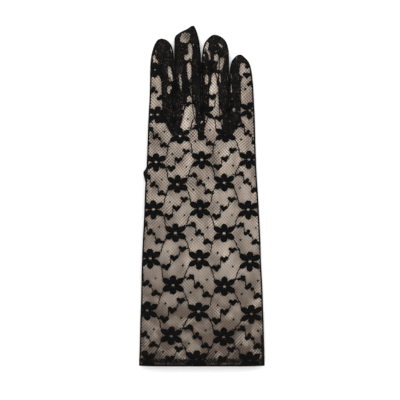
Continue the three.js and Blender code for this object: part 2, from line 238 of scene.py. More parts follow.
# Where the net is drawn closer: right of each flower, along the sides of the hand, and at places on
# the back. Columns of the places: x, y, reach, how much thicker the yarn looks
DENSE = {"away": 10.4, "reach": 4.0, "share": 0.50}
SIDE_DRAWN = {"reach": 1.7, "share": 0.55}
DRAWN_SPOTS = [
    (-11.6, 123.4, 3.4, 1.2), (-25.4, 82.4, 2.0, 0.5), (-40.0, 46.0, 3.0, 0.5), (-7.8, 47.0, 3.0, 0.3),
    (32.4, 83.0, 3.0, 0.35), (-44.5, -117, 5.0, 0.5), (-32.0, -122, 4.5, 0.5), (-11.0, -123, 4.5, 0.4),
    (9.0, -123, 5.0, 0.4), (27.0, -121, 5.0, 0.5), (44.5, -118, 6.0, 0.7),
]
# Thicker dark yarn along the thumb's edge, where the thumb lies in the hand's shade, stands in for that
# shade.
THUMB_SHADE_YARN = {"reach": 2, "share": 0.9}
WINDOW_THINNED = 0.25

# Soft creases of the lining on the back. Columns: both ends, width, depth
CREASES = [
    (-41.4, 12, -42.4, -13, 2.0, 0.6), (-39.5, -8, -43.5, -62, 3.2, 0.35),
    (-39.5, 76, -32, 63, 2.2, 0.45), (-36, 88, -39, 70, 1.8, 0.30), (-10, 126, -15, 118, 3.0, 0.45),
    (7, 88, 12, 80, 1.8, 0.35), (31, 88, 36, 74, 2.4, 0.30), (-25, 36, -19, 22, 2.4, 0.28),
    (-30, 14, -36, -4, 2.6, 0.30), (6, 22, 12, 8, 2.2, 0.25), (-8, -12, -14, -26, 2.4, 0.30),
    (26, -2, 20, -20, 2.8, 0.28), (-30, -60, -24, -78, 3.0, 0.30), (4, -62, 12, -80, 3.0, 0.30),
    (34, -64, 28, -84, 2.6, 0.30), (-38, -100, -30, -116, 3.4, 0.42),
    (-16, -96, -12, -114, 3.0, 0.38), (6, -100, 14, -120, 3.4, 0.42), (30, -98, 36, -118, 3.2, 0.40),
]

# The net: its meshes, its yarn's radius, and the knots as a share of that. Columns of the two sets of
# yarns: angle, shift and lift
NET_PITCH = 1.7
HEM_PITCH = 1.1
NET_YARN = 0.182
NET_SPAN = 2.4
SHORTEST_YARN = 0.5
NET_SETS = ((math.pi / 4, 0.0, 0.10), (-math.pi / 4, 0.37, 0.20))
KNOT = {"size": 1.7, "flat": 0.75, "inside": 0.15, "lift": 0.15}
NET_UNEVEN = 0.4
NET_WARP = 0.3

# Layers of cloth and their depths beneath the outside of the lace
RELIEF = 0.45
DOUBLED_LACE = {"depth": 0.5, "thick": 0.22, "cell": 0.6, "gathers": 0.12}
LINING = {
    "share": 0.9, "depth": 0.85, "edge_depth": 0.55, "edge_reach": 2.5, "thick": 0.35, "cell": 1.15,
    "inset": 0.05, "end_y": -130.2,
}
UNDER_STRIPS = {"depth": 0.7, "reach": 4}
FINGER_GAPS = {"x": (-21.45, -0.3, 21.15), "half": 0.9, "below": 1}

# Open meshes of the doubled lace and the hem. Columns: lowest and highest y, share of the meshes
STRIP_MESHES = [(61, 78, 0.05), (78, 118, 0.014), (40, 61, 0.010)]
HEM_MESHES = [(-126.6, -125.2, 0.36), (-128.7, -126.6, 0.12), (-130.1, -128.7, 0.85)]
LACE_LAP = 0.2
WINDOW_LAP = 0.1
DOUBLED_BELOW = 2
THUMB_TUCK = {"width": 5, "low": -2, "high": 33, "right": -36}
SIDE_TURNING = {"width": 1.6, "high": -108}

# The hem, and its row of zigzag stitches
HEM_END_Y = -131.0
HEM_CELL = 0.5
HEM_LIP = {"share": 0.85, "radius": 0.78, "y": -130.9, "half_width": 48.1, "points": 90}
HEM_ZIGZAG = {"low": -130.0, "high": -128.7, "step": 0.95, "radius": 0.16, "half_width": 46.8}

# Seams. Columns: slot, radius and corners of the cord, and the overlock stitches' clearance,
# spacing and slant
SEAM_CORDS = {
    "side_seams": ("lace", 0.6, 7, 0.05, 1.3, 0.42),
    "finger_seams": ("lace", 0.62, 7, 0.05, 1.3, 0.42),
    "strip_seams": ("fourchette_lace", 0.36, 6, 0.03, 1.5, 0.4),
}
SIDE_SEAM = {"inset": 0.26, "rise": 0.3}
SIDE_SEAM_ENDS = (CUFF_Y + 0.4, CROTCH_Y + 2)
FINGER_SEAM = {"inset": 0.3, "rise": 0.5}
STITCH_YARN = 0.13
OUTLINE_STEP = 1.5

# The form: how far in from a seam the cloth rises, and where the hand turns into the fingers
SEAM_SHARE = 0.85
SWELL = {"hand": 22, "finger": 9.2, "under": 6.5, "thumb": 7, "pucker": 2}
FINGERS_FROM_Y = 38
FINGERS_OVER = 26

# The plan's grid
STEP = 0.4
GRID_X = np.arange(-56, 56 + STEP / 2, STEP)
GRID_Y = np.arange(-138, 138 + STEP / 2, STEP)
PLAN_X, PLAN_Y = np.meshgrid(GRID_X, GRID_Y)


def smooth(points, step=OUTLINE_STEP):
    """A round curve through the points, with a point about every step."""
    points = np.asarray(points, float)
    line = np.vstack([2 * points[0] - points[1], points, 2 * points[-1] - points[-2]])
    curve = [points[:1]]
    for a, b, c, d in zip(line, line[1:], line[2:], line[3:]):
        count = max(1, math.ceil(math.dist(b, c) / step))
        t = np.arange(1, count + 1)[:, None] / count
        bend = (2 * a - 5 * b + 4 * c - d) * t**2 + (3 * b - a - 3 * c + d) * t**3
        curve.append(0.5 * (2 * b + (c - a) * t + bend))
    return np.vstack(curve)


def outline_of(rows):
    """The closed outline of a table of rows: up the left edge, round the tip and down the right."""
    left = [(row[1], row[0]) for row in rows]
    right = [(row[2], row[0]) for row in reversed(rows)]
    return smooth(left + right)


def from_line(x0, y0, x1, y1):
    """How far each point of the plan is from a straight line, and along it from 0 to 1."""
    dx, dy = x1 - x0, y1 - y0
    along = ((PLAN_X - x0) * dx + (PLAN_Y - y0) * dy) / max(dx * dx + dy * dy, 1e-9)
    t = np.clip(along, 0, 1)
    return np.hypot(PLAN_X - x0 - t * dx, PLAN_Y - y0 - t * dy), t


def field_of(outline):
    """How far each point of the plan lies inside a closed outline."""
    near = np.full(PLAN_X.shape, np.inf)
    inside = np.zeros(PLAN_X.shape, bool)
    for (x0, y0), (x1, y1) in zip(outline, np.roll(outline, -1, axis=0)):
        near = np.minimum(near, from_line(x0, y0, x1, y1)[0])
        if y0 != y1:
            crossed = (y0 > PLAN_Y) != (y1 > PLAN_Y)
            inside ^= crossed & (PLAN_X < x0 + (PLAN_Y - y0) * (x1 - x0) / (y1 - y0))
    return np.where(inside, near, -near)


def oval(x, y, half_width, half_length, lean=0.0, squareness=3.0):
    """The field of an oval whose top leans left by some degrees."""
    turn = math.radians(lean)
    across = (PLAN_X - x) * math.cos(turn) + (PLAN_Y - y) * math.sin(turn)
    along = (PLAN_Y - y) * math.cos(turn) - (PLAN_X - x) * math.sin(turn)
    reach = np.abs(across / half_width) ** squareness + np.abs(along / half_length) ** squareness
    return (1 - reach ** (1 / squareness)) * min(half_width, half_length)


def box_of(region):
    """The lowest and highest x and the lowest and highest y of a region."""
    rows, columns = np.nonzero(region > 0)
    return GRID_X[columns.min()], GRID_X[columns.max()], GRID_Y[rows.min()], GRID_Y[rows.max()]


def sample(field, x, y):
    """The field's values at points of the plan."""
    across = np.clip((x - GRID_X[0]) / STEP, 0, len(GRID_X) - 1.001)
    along = np.clip((y - GRID_Y[0]) / STEP, 0, len(GRID_Y) - 1.001)
    i, j = across.astype(int), along.astype(int)
    u, v = across - i, along - j
    near = field[j, i] * (1 - u) + field[j, i + 1] * u
    far = field[j + 1, i] * (1 - u) + field[j + 1, i + 1] * u
    return near * (1 - v) + far * v


def slide_to_edge(field, x, y, outside=np.inf, inside=0.0, rounds=2):
    """Slides points to a region's edge, from at most so far outside and inside it."""
    slope_y, slope_x = np.gradient(field, STEP)
    for _ in range(rounds):
        away = np.clip(sample(field, x, y), -outside, inside)
        across, along = sample(slope_x, x, y), sample(slope_y, x, y)
        steep = np.maximum(across**2 + along**2, 0.3)
        x, y = x - away * across / steep, y - away * along / steep
    return x, y


def unit(vectors):
    """The vectors at a length of one."""
    return vectors / np.maximum(np.linalg.norm(vectors, axis=-1, keepdims=True), 1e-12)


def ease(t):
    """Rises smoothly from 0 at 0 to 1 at 1."""
    return 0.5 - 0.5 * np.cos(np.pi * np.clip(t, 0, 1))


def fade(away, reach):
    """Falls smoothly from 1 towards 0 as the distance grows past the reach."""
    return np.exp(-((away / reach) ** 2))


def swell(inside, reach):
    """The rise of sewn cloth from its seam, from 0 at the edge to 1 at the reach."""
    t = np.clip(inside / reach, 0, 1)
    return (1 - (1 - t) ** 2.2) ** 0.62


def wave(u, v, length, bend, bend_length, inner=0.0, outer=0.0):
    """A wave along u, bent by a second wave along v. Inner and outer are the two waves' phases."""
    return np.sin(u / length + bend * np.sin(v / bend_length + inner) + outer)


def drape():
    """Height of the hand's underside over the surface that the glove lies on."""
    across = ease(1 - (PLAN_X - DRAPE["right"]) / DRAPE["slope_right"])
    to_cuff = ease(1 - (DRAPE["near"] - PLAN_Y) / DRAPE["slope_near"])
    to_tips = ease(1 - (PLAN_Y - DRAPE["far"]) / DRAPE["slope_far"])
    return DRAPE["height"] * across * to_cuff * to_tips


def folds(high=0.20, slanting=0.13, phase=0.4):
    """Shallow waves of the cloth, about a third of a millimetre high."""
    wide = wave(PLAN_X, PLAN_Y, 8.3, 0.9, 27, phase) * np.sin(PLAN_Y / 13.5 + phase)
    slant = np.sin((PLAN_X + 0.7 * PLAN_Y) / 5.1 + phase) * np.sin((PLAN_Y - 0.4 * PLAN_X) / 19)
    return high * wide + slanting * slant


def puckers(inside, high=0.16, reach=2.6, phase=0.7):
    """Small ripples where the cloth is drawn in along a seam."""
    ripple = wave(PLAN_Y, PLAN_Y, 1.05, 1.7, 6.1, phase, phase)
    return high * ripple * np.exp(-np.clip(inside, 0, None) / reach)


def creased(field, flat_edge=4, least=0.4):
    """The lining's own creases, as a depth. The least share of the depth is at a crease's ends."""
    depth = np.zeros(PLAN_X.shape)
    for *ends, width, deep in CREASES:
        away, t = from_line(*ends)
        depth += deep * fade(away, width) * (least + (1 - least) * np.sin(np.pi * t))
    return depth * swell(field, flat_edge)


# Regions of the plan
hand_table = np.array(HAND_ROWS, float).T
hand_left, hand_right, hand_half = (np.interp(PLAN_Y, hand_table[0], column) for column in hand_table[1:])
hand_sides = np.minimum(PLAN_X - hand_left, hand_right - PLAN_X)
hand = np.minimum(hand_sides, CROTCH_Y - PLAN_Y)
fingers = np.maximum.reduce([
    field_of(outline_of([(FINGER_FOOT_Y, *rows[0][1:]), *rows])) for rows in FINGER_ROWS.values()
])
body = np.maximum(hand, fingers)
glove = np.minimum(body, PLAN_Y - CUFF_Y)
strips = {}
for strip, (left_seam, right_seam) in STRIP_SEAMS.items():
    edge = np.vstack([smooth(left_seam), smooth(right_seam)[::-1]])
    strips[strip] = np.minimum(field_of(edge), glove)
all_strips = np.maximum.reduce(list(strips.values()))
windows = np.maximum.reduce([oval(*row) for row in WINDOWS])
hole = oval(**THUMB_HOLE, squareness=2)
thumb = field_of(outline_of(THUMB_ROWS))
above_hem = PLAN_Y - HEM_TOP_Y
back_panel = np.minimum.reduce([glove, -all_strips, above_hem - LACE_LAP])
palm_panel = np.minimum(back_panel, -hole)
hem = np.minimum.reduce([glove, -above_hem, PLAN_Y - HEM_END_Y])
above_crotch = PLAN_Y - CROTCH_Y
doubled = np.minimum.reduce([fingers, above_crotch + DOUBLED_BELOW, LACE_LAP - all_strips, -windows])

# The form: for each face, the heights of its seam and of its cloth, the cloth's two slopes, and 1 if
# its outside looks up or -1 if it looks down
form = {}


def add_face(face, seam, height, out):
    slope_y, slope_x = np.gradient(height, STEP)
    form[face] = (seam, height, slope_x, slope_y, out)


hand_seam = SEAM_SHARE * hand_half + drape()
to_fingers = ease((PLAN_Y - FINGERS_FROM_Y) / FINGERS_OVER)
top_rise = (1 - to_fingers) * swell(hand_sides, SWELL["hand"])
top_rise = top_rise + to_fingers * swell(fingers, SWELL["finger"])
waves = folds() * top_rise + puckers(hand_sides) * swell(glove, SWELL["pucker"])
thumb_seam = np.full(PLAN_X.shape, THUMB_HALF)
thumb_rise = swell(thumb, SWELL["thumb"])
add_face("back", hand_seam, hand_seam + (2 - SEAM_SHARE) * hand_half * top_rise + waves, 1)
add_face("palm", hand_seam, hand_seam - SEAM_SHARE * hand_half * swell(body, SWELL["under"]), -1)
add_face("thumb_back", thumb_seam, THUMB_HALF * (1 + thumb_rise), 1)
add_face("thumb_palm", thumb_seam, THUMB_HALF * (1 - thumb_rise), -1)


def on_cloth(face, x, y, lift=0.0, share=1.0):
    """Points of a face over points of the plan, in metres, and the cloth's normals there.

    The lift is outwards from the lace's underside. A share under 1 is a layer beneath."""
    *fields, out = form[face]
    seam, height, slope_x, slope_y = (sample(field, x, y) for field in fields)
    z = seam + share * (height - seam)
    normals = unit(np.stack([-slope_x, -slope_y, np.ones_like(z)], -1) * out)
    away = np.broadcast_to(np.asarray(lift, float) - RELIEF, z.shape)[..., None]
    return (np.stack([x, y, z], -1) + away * normals) * MM, normals


# Meshes


def deselect():
    bpy.ops.object.select_all(action="DESELECT")


def select(pieces):
    """Selects only these objects. The first one is the active one."""
    deselect()
    for piece in pieces:
        piece.select_set(True)
    bpy.context.view_layer.objects.active = pieces[0]


def link_object(name, data):
    """A new object in the scene."""
    linked = bpy.data.objects.new(name, data)
    bpy.context.scene.collection.objects.link(linked)
    return linked


def points_of(mesh):
    """The places of a mesh's points, a row for each."""
    points = np.zeros(len(mesh.vertices) * 3)
    mesh.vertices.foreach_get("co", points)
    return points.reshape(-1, 3)


def corners_of(mesh):
    """The number of the point at each corner of a mesh's faces."""
    corners = np.zeros(len(mesh.loops), int)
    mesh.loops.foreach_get("vertex_index", corners)
    return corners


def finish_piece(piece, material):
    """Gives a piece its material and its smooth surface, and lets it ride on the glove."""
    piece.data.materials.clear()
    piece.data.materials.append(material)
    select([piece])
    bpy.ops.object.shade_smooth_by_angle(angle=math.radians(50))
    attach(piece, "root")
    return piece


def mesh_piece(name, shape, material):
    """A piece from the points and faces of a shape, and its stitches' UVs if it has them."""
    points, faces, *uvs = shape
    mesh = bpy.data.meshes.new(name)
    mesh.from_pydata(points.tolist(), [], faces)
    if uvs:
        layer = mesh.uv_layers.new(name="stitches")
        layer.data.foreach_set("uv", uvs[0].astype(np.float32)[corners_of(mesh)].ravel())
    return finish_piece(link_object(name, mesh), material)


def joined_piece(name, sheets, material):
    """A piece from sheets of cloth."""
    select(sheets)
    if len(sheets) > 1:
        bpy.ops.object.join()
    sheets[0].name = name
    sheets[0].data.name = name
    return finish_piece(sheets[0], material)


def join_arrays(parts):
    """Points, faces and UVs of many small shapes as one."""
    points, faces, uvs = zip(*parts)
    firsts = np.cumsum([0] + [len(part) for part in points])
    joined = [tuple(i + first for i in face) for first, part in zip(firsts.tolist(), faces)
              for face in part]
    return np.vstack(points), joined, np.vstack(uvs)


def yarn(curves, radius, sides=3):
    """Closed prisms along curves. Each curve is its points and the normals of the cloth there."""
    points, normals = (np.vstack(column) for column in zip(*curves))
    curve = np.repeat(np.arange(len(curves)), [len(middle) for middle, _ in curves])
    index = np.arange(len(points))
    after = np.minimum(index + 1, len(points) - 1)
    after = np.where(curve[after] == curve, after, index)
    before = np.maximum(index - 1, 0)
    before = np.where(curve[before] == curve, before, index)
    tangent = points[after] - points[before]
    side = unit(np.cross(tangent, normals))
    up = unit(np.cross(side, tangent))
    radii = np.broadcast_to(np.asarray(radius, float), (len(points),)) * MM
    angles = np.pi / 2 + 2 * np.pi * np.arange(sides) / sides
    spokes = np.cos(angles)[:, None] * side[:, None] + np.sin(angles)[:, None] * up[:, None]
    rings = points[:, None] + radii[:, None, None] * spokes
    k = np.arange(sides)
    turn = (k + 1) % sides
    a = index[after != index][:, None] * sides
    quads = np.stack([a + turn, a + k, a + sides + k, a + sides + turn], -1).reshape(-1, 4)
    starts, ends = index[before == index], index[after == index]
    caps = np.vstack([starts[:, None] * sides + k, ends[:, None] * sides + k[::-1]])
    return rings.reshape(-1, 3), quads.tolist() + caps.tolist()


def runs_inside(region, angle, pitch, shift):
    """The stretches of evenly spaced straight lines that lie inside a region."""
    direction = np.array([math.cos(angle), math.sin(angle)])
    across = np.array([-direction[1], direction[0]])
    x0, x1, y0, y1 = box_of(region)
    corners = np.array([(x0, y0), (x0, y1), (x1, y0), (x1, y1)])
    offsets, lengths = corners @ across, corners @ direction
    first = math.floor(offsets.min() / pitch) * pitch + shift
    steps = np.arange(lengths.min() - 1, lengths.max() + 1, STEP)
    runs = []
    for offset in np.arange(first, offsets.max() + pitch, pitch):
        line = offset * across + steps[:, None] * direction
        depth = sample(region, *line.T)
        inside = np.concatenate([[False], depth > 0, [False]])
        changes = np.flatnonzero(inside[1:] != inside[:-1])
        for start, end in zip(changes[::2], changes[1::2]):
            if start == 0 or end >= len(steps):
                continue
            t0, t1 = (steps[k] - STEP * depth[k] / (depth[k] - depth[k - 1]) for k in (start, end))
            if t1 - t0 < SHORTEST_YARN:
                continue
            count = math.ceil((t1 - t0) / NET_SPAN) + 1
            runs.append(offset * across + np.linspace(t0, t1, count)[:, None] * direction)
    return runs


def drawn_out(x, y):
    """Points of the plan, moved as the net is drawn out of shape by its motifs."""
    return (x + NET_WARP * wave(y, x, 2.9, 1.7, 6.1),
            y + NET_WARP * wave(x, y, 3.3, 1.9, 7.3, 0.0, 1.0))


def knots_of(face, region, pitch):
    """Where the net's yarns cross on a face, and the cloth's normals there."""
    reach = math.ceil(200 / pitch)
    first, second = np.meshgrid(np.arange(-reach, reach) * pitch, np.arange(-reach, reach) * pitch)
    second = second + NET_SETS[1][1]
    x, y = ((second - first) * math.sqrt(0.5)).ravel(), ((second + first) * math.sqrt(0.5)).ravel()
    on_plan = (np.abs(x) < GRID_X[-1]) & (np.abs(y) < GRID_Y[-1])
    x, y = x[on_plan], y[on_plan]
    inside = sample(region, x, y) > KNOT["inside"]
    return on_cloth(face, *drawn_out(x[inside], y[inside]), KNOT["lift"])


def knot_beads(middles, normals):
    """Flat beads with six corners at knots, each turned to its normal."""
    side = unit(np.cross(normals, (0.0, 1.0, 0.0)))
    axes = np.stack([side, np.cross(normals, side), normals], 1)
    flat = KNOT["flat"]
    corners = np.array([(1, 0, 0), (0, 1, 0), (-1, 0, 0), (0, -1, 0), (0, 0, flat), (0, 0, -flat)])
    points = middles[:, None] + KNOT["size"] * NET_YARN * MM * (corners @ axes)
    faces = np.array([(k, (k + 1) % 4, 4) for k in range(4)] + [((k + 1) % 4, k, 5) for k in range(4)])
    firsts = len(corners) * np.arange(len(middles))
    return points.reshape(-1, 3), (firsts[:, None, None] + faces).reshape(-1, 3)


def net(regions, pitch=NET_PITCH):
    """The net over regions of faces: two sets of crossed yarns with a knot at each crossing.

    The ground of a region says how much thicker the yarn is at each point of the plan."""
    curves, radii, knots = [], [], []
    for face, region, ground in regions:
        for angle, shift, lift in NET_SETS:
            for run in runs_inside(region, angle, pitch, shift):
                x, y = drawn_out(*run.T)
                curves.append(on_cloth(face, x, y, lift))
                uneven = math.copysign(NET_UNEVEN, angle) * wave(x, y, 3.7, 1.3, 9) * np.sin(y / 4.9)
                radii.append(NET_YARN * (1 + uneven + sample(ground, x, y)))
        knots.append(knots_of(face, region, pitch))
    points, faces = yarn(curves, np.concatenate(radii))
    beads, bead_faces = knot_beads(*(np.vstack(column) for column in zip(*knots)))
    return np.vstack([points, beads]), faces + (len(points) + bead_faces).tolist()


def close_cloth(region, face, depth, cell, thickness, gathers=0.0, pores=None):
    """A sheet of close cloth over a region of a face, from a flat grid cut to the region.

    The pores pick the cells that are left open."""
    x0, x1, y0, y1 = box_of(region)
    across, along = math.ceil((x1 - x0) / cell + 2), math.ceil((y1 - y0) / cell + 2)
    deselect()
    bpy.ops.mesh.primitive_grid_add(x_subdivisions=across, y_subdivisions=along, size=1)
    sheet = bpy.context.object
    mesh = sheet.data
    flat_x, flat_y, _ = points_of(mesh).T
    x = x0 - cell + (flat_x + 0.5) * across * cell
    y = y0 - cell + (flat_y + 0.5) * along * cell
    corners = corners_of(mesh).reshape(-1, 4)
    middle_x, middle_y = x[corners].mean(1), y[corners].mean(1)
    keep = sample(region, middle_x, middle_y) > 0
    used = np.zeros(len(x), int)
    np.add.at(used, corners[keep].ravel(), 1)
    border = (used > 0) & (used < 4)
    most = 0.8 * cell
    x[border], y[border] = slide_to_edge(region, x[border], y[border], most, most, 3)
    if pores is not None:
        keep &= ~pores(middle_x, middle_y)
    ripple = wave(x, y, 1 / 3.1, 1.6, 6.5) * np.sin(y / 9 + x)
    placed, _ = on_cloth(face, x, y, RELIEF - sample(depth, x, y) + gathers * ripple)
    mesh.vertices.foreach_set("co", placed.ravel())
    mesh.vertices.foreach_set("select", np.zeros(len(mesh.vertices), bool))
    mesh.edges.foreach_set("select", np.zeros(len(mesh.edges), bool))
    mesh.polygons.foreach_set("select", ~keep)
    mesh.update()
    bpy.context.tool_settings.mesh_select_mode = (False, False, True)
    bpy.ops.object.mode_set(mode="EDIT")
    bpy.ops.mesh.delete(type="FACE")
    bpy.ops.mesh.select_all(action="SELECT")
    if form[face][-1] < 0:
        bpy.ops.mesh.flip_normals()
    bpy.ops.object.mode_set(mode="OBJECT")
    wall = sheet.modifiers.new("wall", "SOLIDIFY")
    wall.thickness = thickness * MM
    wall.offset = -1
    bpy.ops.object.modifier_apply(modifier="wall")
    return sheet


# Motifs of the lace. A part is its points, its faces and the UVs of its stitches, which run along +Y


def take_apart(shape):
    """A motif's part from an object, which is then removed."""
    points = points_of(shape.data)
    faces = [tuple(face.vertices) for face in shape.data.polygons]
    bpy.data.objects.remove(shape)
    return points, faces, points[:, :2].copy()


def plaque(outline, edge, size):
    """A padded part of close stitches from its outline in plan, with a rounded edge."""
    deselect()
    bpy.ops.mesh.primitive_circle_add(vertices=len(outline), radius=1, fill_type="NGON")
    shape = bpy.context.object
    flat = np.column_stack([outline, np.zeros(len(outline))])
    shape.data.vertices.foreach_set("co", flat.ravel())
    bpy.ops.object.mode_set(mode="EDIT")
    bpy.ops.mesh.select_all(action="SELECT")
    bpy.ops.mesh.extrude_region_move(TRANSFORM_OT_translate={"value": (0, 0, MOTIF_THICK)})
    bpy.ops.mesh.inset(thickness=edge[1] * size, depth=edge[0])
    bpy.ops.mesh.select_all(action="SELECT")
    bpy.ops.mesh.normals_make_consistent(inside=False)
    bpy.ops.object.mode_set(mode="OBJECT")
    return take_apart(shape)


def turned(part, degrees, x=0.0, y=0.0):
    """A part turned and moved in plan. Its stitches turn with it."""
    points, faces, uvs = part
    across, along, up = points.T
    cos, sin = math.cos(math.radians(degrees)), math.sin(math.radians(degrees))
    moved = np.column_stack([x + across * cos - along * sin, y + across * sin + along * cos, up])
    return moved, faces, uvs


def round_pads(pads, corners):
    """Round padded parts side by side."""
    angles = 2 * np.pi * np.arange(corners) / corners
    ring = np.column_stack([np.cos(angles), np.sin(angles)])
    return [plaque(radius * ring + (x, y), PAD_EDGE, radius) for x, y, radius in pads]


def petal_outline(length, width, point, count=20):
    """A petal from the origin to the far end of +Y. A low point number makes its tip blunt."""
    angles = 2 * np.pi * np.arange(count) / count
    along = 0.5 + 0.5 * np.cos(angles)
    bluntness = ROOT_POINT + (point - ROOT_POINT) * along
    half = width / 2 * np.sin(np.pi * along**1.2) ** bluntness
    return np.column_stack([-np.sign(np.sin(angles)) * half, length * along])


def eye_ring():
    """The yarn round the open eye of a flower, a ring with four corners."""
    deselect()
    bpy.ops.mesh.primitive_torus_add(
        major_segments=4, minor_segments=6, major_radius=1, minor_radius=EYE["ring"]
    )
    bpy.ops.transform.resize(value=(EYE["half_width"], EYE["half_length"], EYE["flat"]))
    bpy.ops.transform.translate(value=(0, 0, MOTIF_THICK))
    bpy.ops.object.transform_apply(location=True, rotation=False, scale=True)
    return take_apart(bpy.context.object)


def flower_parts(petals):
    """The six petals of a flower and the ring round its eye."""
    parts = [eye_ring()]
    for x, y, width, point in petals:
        reach = math.hypot(x, y)
        petal = plaque(petal_outline(reach - PETAL_ROOT, width, point), PETAL_EDGE, width)
        root = PETAL_ROOT / reach
        parts.append(turned(petal, math.degrees(math.atan2(-x, y)), x * root, y * root))
    return parts


MOTIFS = {kind: flower_parts(petals) for kind, petals in PETALS.items()}
MOTIFS |= {kind: round_pads(pads, 8 if kind == "dot" else 12) for kind, pads in PADS.items()}


def set_motif(kind, ground, x, y, turn, scale):
    """A motif's parts on a face, without those outside the region or under the doubled lace."""
    face, region, hidden = ground
    placed = []
    for part in MOTIFS[kind]:
        points, faces, uvs = turned(part, turn)
        across, along = x + scale[0] * points[:, 0], y + scale[1] * points[:, 1]
        inside = sample(region, across, along)
        if inside.max() < MOTIF_LIMITS["least_inside"] or inside.mean() < MOTIF_LIMITS["middle"]:
            continue
        if sample(hidden, across.mean(), along.mean()) > MOTIF_LIMITS["under_doubled"]:
            continue
        if inside.min() < 0:
            across, along = slide_to_edge(region, across, along)
        on_face, _ = on_cloth(face, across, along, points[:, 2] + MOTIF_LIFT)
        placed.append((on_face, faces, uvs))
    return placed


def stem(path, ground, step=0.75, wiggle=0.2, inside=0.2, lift=0.24):
    """A stem along a path in plan, only as far as it lies inside the region."""
    face, region, _ = ground
    curve = smooth(path, step)
    curve[:, 0] += wiggle * np.sin(1.7 * curve[:, 1] + curve[:, 0])
    curve = curve[sample(region, *curve.T) > inside]
    return [on_cloth(face, *curve.T, lift)] if len(curve) > 1 else []


def beaded(stems, radius=0.42, uneven=0.35, turn=1.9):
    """Radii of the stems' yarn, which is thick and thin by turns."""
    return np.concatenate([radius * (1 + uneven * np.sin(turn * np.arange(len(points))))
                           for points, _ in stems])


def chart_rows(shift):
    """The middles and size of each row's flowers, and the middles, size and kind of its sprays."""
    rows = []
    for (x, y, step_x, step_y, count, *size), kind in zip(FLOWER_ROWS, itertools.cycle(ROW_KINDS)):
        x, y = x + shift[0], y + shift[1]
        flowers = [(x + k * step_x, y + k * step_y) for k in range(count)]
        if count == 3 and y < CROTCH_Y - 10:
            flowers[1] = (flowers[1][0] + MIDDLE_SHIFT[0], flowers[1][1] + MIDDLE_SHIFT[1])
        between = [(x + (k + 0.5) * step_x, y + (k + 0.5) * step_y)
                   for k in range(-1 - bool(shift[0]), count)]
        rows.append((flowers, size, between, step_x / CHART_STEP, kind))
    return rows


def eyes(shift):
    """The field of the open eyes of the flowers on a face."""
    return np.maximum.reduce([
        oval(x, y, EYE_OPEN["half_width"] * size[0], EYE_OPEN["half_length"] * size[1], 0,
             EYE_OPEN["squareness"])
        for flowers, size, *_ in chart_rows(shift) for x, y in flowers
    ])


def dense_ground(shift, spots=()):
    """The field of the denser net: along the side seams, at the spots and right of each flower."""
    dense = SIDE_DRAWN["share"] * fade(np.clip(body, 0, None), SIDE_DRAWN["reach"])
    for x, y, reach, share in spots:
        dense += share * fade(np.hypot(PLAN_X - x, PLAN_Y - y), reach)
    for flowers, size, *_ in chart_rows(shift):
        for x, y in flowers:
            away = np.hypot(PLAN_X - x - DENSE["away"] * size[0], PLAN_Y - y)
            dense += DENSE["share"] * fade(away, DENSE["reach"])
    return dense


def long_stem(start, start_size, end, end_size):
    """A path from a flower to one of the next row, on the side where that flower is."""
    side = math.copysign(1, end[0] - start[0])
    x0 = start[0] + side * STEM_START[0] * start_size[0]
    y0 = start[1] + STEM_START[1] * start_size[1]
    x1 = end[0] - side * STEM_END_X[side] * end_size[0]
    y1 = end[1] + STEM_END_Y * end_size[1]
    (bend_x, bend_y), (sag_x, sag_y) = STEM_BENDS
    return [(x0, y0), (x0 + side * bend_x, y0 + bend_y), (x1 + side * sag_x, y1 + sag_y), (x1, y1)]


def chart(ground, shift):
    """All motifs of the lace chart on a face, and the stems that join them."""
    parts, stems = [], []
    rows = chart_rows(shift)
    on_back = ground[0] == "back"
    for flowers, flower_size, between, scale, kind in rows:
        for x, y in flowers:
            parts += set_motif(kind, ground, x, y, rng.uniform(-FLOWER_TURN, FLOWER_TURN), flower_size)
        for x, y in between:
            if on_back and y > FINGER_SPRAYS_Y:
                continue
            for shape, dx, dy, size in SPRAYS[kind]:
                turn = rng.uniform(-SPRAY_TURN, SPRAY_TURN)
                both = (size * scale, size * scale)
                parts += set_motif(shape, ground, x + scale * dx, y + scale * dy, turn, both)
            for path in SPRAY_STEMS[kind]:
                stems += stem([(x + scale * dx, y + scale * dy) for dx, dy in path], ground)
    if on_back:
        for shape, x, y, turn, size in FINGER_MOTIFS:
            parts += set_motif(shape, ground, x, y, turn, (size, size))
    for (upper, upper_size, *_), (lower, lower_size, *_) in zip(rows, rows[1:]):
        for start in upper:
            for end in lower:
                if abs(end[0] - start[0]) <= STEM_REACH * CHART_STEP:
                    stems += stem(long_stem(start, upper_size, end, lower_size), ground)
    return parts, stems


# Seams


def overlock(curves, cord, spacing, slant):
    """Yarn that wraps a seam's cord with slanting stitches."""
    stitches = []
    angles = np.radians([-105, -40, 25, 90])
    for points, normals in curves:
        steps = np.concatenate([[0], np.cumsum(np.linalg.norm(np.diff(points, axis=0), axis=1))])
        at = np.arange(spacing * MM / 2, steps[-1], spacing * MM)
        if len(at) < 3:
            continue
        middle, up = (np.column_stack([np.interp(at, steps, column) for column in values.T])
                      for values in (points, normals))
        up = unit(up)
        tangent = unit(np.gradient(middle, axis=0))
        for p, t, n, b in zip(middle, tangent, up, np.cross(tangent, up)):
            spokes = np.cos(angles)[:, None] * n + np.sin(angles)[:, None] * b
            lean = np.linspace(-slant, slant, len(angles))[:, None] * MM * t
            stitches.append((p + cord * MM * spokes + lean, spokes))
    return stitches


def edge_seam(outline, region, inset, rise, face="back"):
    """The seam along an edge where back and palm meet, rolled a little upwards."""
    points, _ = on_cloth(face, *slide_to_edge(region - inset, *outline.T), RELIEF, 0.0)
    points[:, 2] += rise * MM
    outward = unit(np.cross(np.gradient(points, axis=0), (0, 0, 1)))
    if ((points - points.mean(0)) * outward).sum() < 0:
        outward = -outward
    return points, outward


